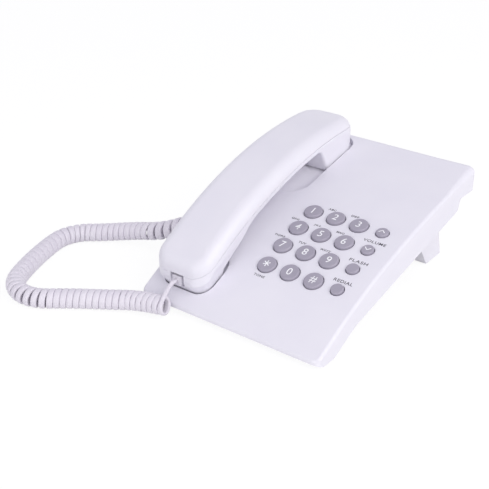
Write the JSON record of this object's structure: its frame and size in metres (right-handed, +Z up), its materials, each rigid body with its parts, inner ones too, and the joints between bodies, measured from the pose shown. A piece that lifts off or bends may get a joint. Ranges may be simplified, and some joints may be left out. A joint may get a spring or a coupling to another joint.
{
  "type": "corded desk phone",
  "caption": "White corded desk phone: wedge-shaped base with round push keys, lift-off arched handset in its cradle, coiled handset cord and rear desk stand.",
  "frame": {"origin": "On the table, below the middle of the base", "axes": "+X to the right of someone who faces the keypad, +Y to the rear, +Z up"},
  "size_m": [0.2615, 0.2637, 0.0922],
  "materials": {
    "white_case": "satin moulded white plastic",
    "grey_key": "matt light grey moulded plastic",
    "white_cord": "satin white flexible jacket",
    "foot_rubber": "matt grey rubber",
    "screw_steel": "zinc-plated steel",
    "board_laminate": "green solder-masked laminate",
    "component_body": "black moulded component bodies",
    "key_mat": "soft grey silicone",
    "dark_plastic": "black moulded plastic",
    "sounder_brass": "brass sounder disc",
    "plug_clear": "translucent modular plug",
    "capsule_metal": "metal capsule can",
    "weight_iron": "plain steel bar"
  },
  "bodies": {
    "base": {"upper_case": "white_case", "lower_case": "white_case", "desk_stand": "white_case", "rubber_feet": "foot_rubber", "case_screws": "screw_steel", "main_board": "board_laminate", "board_parts": "component_body", "board_screws": "screw_steel", "keypad_mat": "key_mat", "hook_switch": "dark_plastic", "ringer_sounder": "sounder_brass", "line_jack": "dark_plastic", "base_jack": "dark_plastic", "ringer_switch_body": "dark_plastic", "dial_mode_switch_body": "dark_plastic", "coiled_cord": "white_cord", "base_plug": "plug_clear"},
    "handset": {"handset_outer_shell": "white_case", "handset_inner_shell": "white_case", "handset_screws": "screw_steel", "receiver_gasket": "key_mat", "receiver_capsule": "capsule_metal", "mic_boot": "key_mat", "mic_capsule": "capsule_metal", "handset_weight": "weight_iron", "handset_jack": "dark_plastic", "handset_plug": "plug_clear"},
    "hook_plunger": {"hook_plunger": "white_case"},
    "key_1": {"key_1": "grey_key"},
    "key_2": {"key_2": "grey_key"},
    "key_3": {"key_3": "grey_key"},
    "key_4": {"key_4": "grey_key"},
    "key_5": {"key_5": "grey_key"},
    "key_6": {"key_6": "grey_key"},
    "key_7": {"key_7": "grey_key"},
    "key_8": {"key_8": "grey_key"},
    "key_9": {"key_9": "grey_key"},
    "key_star": {"key_star": "grey_key"},
    "key_0": {"key_0": "grey_key"},
    "key_hash": {"key_hash": "grey_key"},
    "volume_up_key": {"volume_up_key": "grey_key"},
    "volume_down_key": {"volume_down_key": "grey_key"},
    "flash_key": {"flash_key": "grey_key"},
    "redial_key": {"redial_key": "grey_key"},
    "ringer_switch_knob": {"ringer_switch_knob": "dark_plastic"},
    "dial_mode_switch_knob": {"dial_mode_switch_knob": "dark_plastic"}
  },
  "joints": [
    {"name": "handset_lift", "type": "slide", "parent": "base", "child": "handset", "axis": [0, 0, 1], "range_m": [0, 0.06]},
    {"name": "hook_rise", "type": "slide", "parent": "base", "child": "hook_plunger", "axis": [0, 0, 1], "range_m": [0, 0.004]},
    {"name": "key_1_press", "type": "slide", "parent": "base", "child": "key_1", "axis": [0, 0.2644, -0.9644], "range_m": [0, 0.0012], "stiffness_N_per_m": 400},
    {"name": "key_2_press", "type": "slide", "parent": "base", "child": "key_2", "axis": [0, 0.2644, -0.9644], "range_m": [0, 0.0012], "stiffness_N_per_m": 400},
    {"name": "key_3_press", "type": "slide", "parent": "base", "child": "key_3", "axis": [0, 0.2644, -0.9644], "range_m": [0, 0.0012], "stiffness_N_per_m": 400},
    {"name": "key_4_press", "type": "slide", "parent": "base", "child": "key_4", "axis": [0, 0.2978, -0.9546], "range_m": [0, 0.0012], "stiffness_N_per_m": 400},
    {"name": "key_5_press", "type": "slide", "parent": "base", "child": "key_5", "axis": [0, 0.2978, -0.9546], "range_m": [0, 0.0012], "stiffness_N_per_m": 400},
    {"name": "key_6_press", "type": "slide", "parent": "base", "child": "key_6", "axis": [0, 0.2978, -0.9546], "range_m": [0, 0.0012], "stiffness_N_per_m": 400},
    {"name": "key_7_press", "type": "slide", "parent": "base", "child": "key_7", "axis": [0, 0.3455, -0.9384], "range_m": [0, 0.0012], "stiffness_N_per_m": 400},
    {"name": "key_8_press", "type": "slide", "parent": "base", "child": "key_8", "axis": [0, 0.3455, -0.9384], "range_m": [0, 0.0012], "stiffness_N_per_m": 400},
    {"name": "key_9_press", "type": "slide", "parent": "base", "child": "key_9", "axis": [0, 0.3455, -0.9384], "range_m": [0, 0.0012], "stiffness_N_per_m": 400},
    {"name": "key_star_press", "type": "slide", "parent": "base", "child": "key_star", "axis": [0, 0.3924, -0.9198], "range_m": [0, 0.0012], "stiffness_N_per_m": 400},
    {"name": "key_0_press", "type": "slide", "parent": "base", "child": "key_0", "axis": [0, 0.3924, -0.9198], "range_m": [0, 0.0012], "stiffness_N_per_m": 400},
    {"name": "key_hash_press", "type": "slide", "parent": "base", "child": "key_hash", "axis": [0, 0.3924, -0.9198], "range_m": [0, 0.0012], "stiffness_N_per_m": 400},
    {"name": "volume_up_key_press", "type": "slide", "parent": "base", "child": "volume_up_key", "axis": [0, 0.2644, -0.9644], "range_m": [0, 0.0012], "stiffness_N_per_m": 400},
    {"name": "volume_down_key_press", "type": "slide", "parent": "base", "child": "volume_down_key", "axis": [0, 0.2978, -0.9546], "range_m": [0, 0.0012], "stiffness_N_per_m": 400},
    {"name": "flash_key_press", "type": "slide", "parent": "base", "child": "flash_key", "axis": [0, 0.3455, -0.9384], "range_m": [0, 0.0012], "stiffness_N_per_m": 400},
    {"name": "redial_key_press", "type": "slide", "parent": "base", "child": "redial_key", "axis": [0, 0.3924, -0.9198], "range_m": [0, 0.0012], "stiffness_N_per_m": 400},
    {"name": "ringer_switch_slide", "type": "slide", "parent": "base", "child": "ringer_switch_knob", "axis": [1, 0, 0], "range_m": [0, 0.0036]},
    {"name": "dial_mode_switch_slide", "type": "slide", "parent": "base", "child": "dial_mode_switch_knob", "axis": [1, 0, 0], "range_m": [0, 0.0036]}
  ],
  "couplings": [
    {"joint": "hook_rise", "follows": "handset_lift", "ratio": 0.066667}
  ]
}
